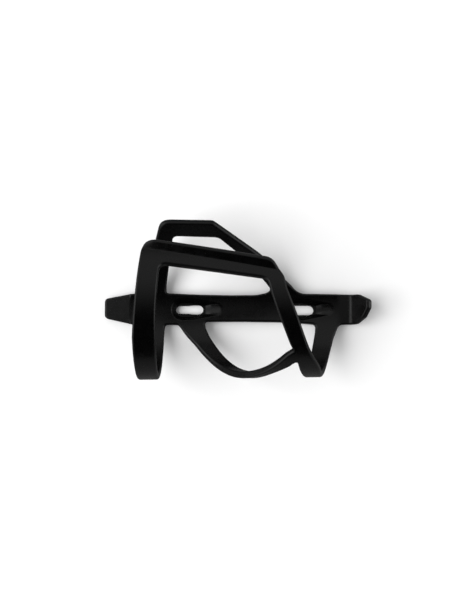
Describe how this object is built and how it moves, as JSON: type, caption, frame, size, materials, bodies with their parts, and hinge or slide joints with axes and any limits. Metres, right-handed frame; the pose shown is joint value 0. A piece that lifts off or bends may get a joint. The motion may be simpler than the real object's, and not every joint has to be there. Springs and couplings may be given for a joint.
{
  "type": "water bottle cage",
  "caption": "Side-entry bottle cage: slotted spine, looped front frame with a side brace, outswept wing and an upturned foot.",
  "frame": {"origin": "midway between the two bolt slots, on the flat mounting back", "axes": "+X along the bottle from neck to base, +Y towards the open wing side, +Z out of the mounting back through the bottle"},
  "size_m": [0.1519, 0.0875, 0.0843],
  "materials": {
    "black_plastic": "satin black fibre-reinforced moulding"
  },
  "bodies": {
    "spine": {"spine_plate": "black_plastic", "neck_tab": "black_plastic", "bottle_stop": "black_plastic"},
    "front_frame": {"wrap_band_lower": "black_plastic", "wrap_band_upper": "black_plastic", "front_rail": "black_plastic", "diagonal_band": "black_plastic", "side_strut": "black_plastic", "side_brace": "black_plastic"},
    "wing_frame": {"wing_leg": "black_plastic", "wing_rail": "black_plastic", "wing_diagonal": "black_plastic"}
  },
  "joints": [
    {"name": "front_flex", "type": "hinge", "parent": "spine", "child": "front_frame", "pos_m": [0, -0.00935, 0.0063], "axis": [1, 0, 0], "range_deg": [0, 5], "stiffness_Nm_per_rad": 4},
    {"name": "wing_flex", "type": "hinge", "parent": "spine", "child": "wing_frame", "pos_m": [0, 0.00935, 0.0063], "axis": [-1, 0, 0], "range_deg": [0, 6], "stiffness_Nm_per_rad": 3}
  ]
}
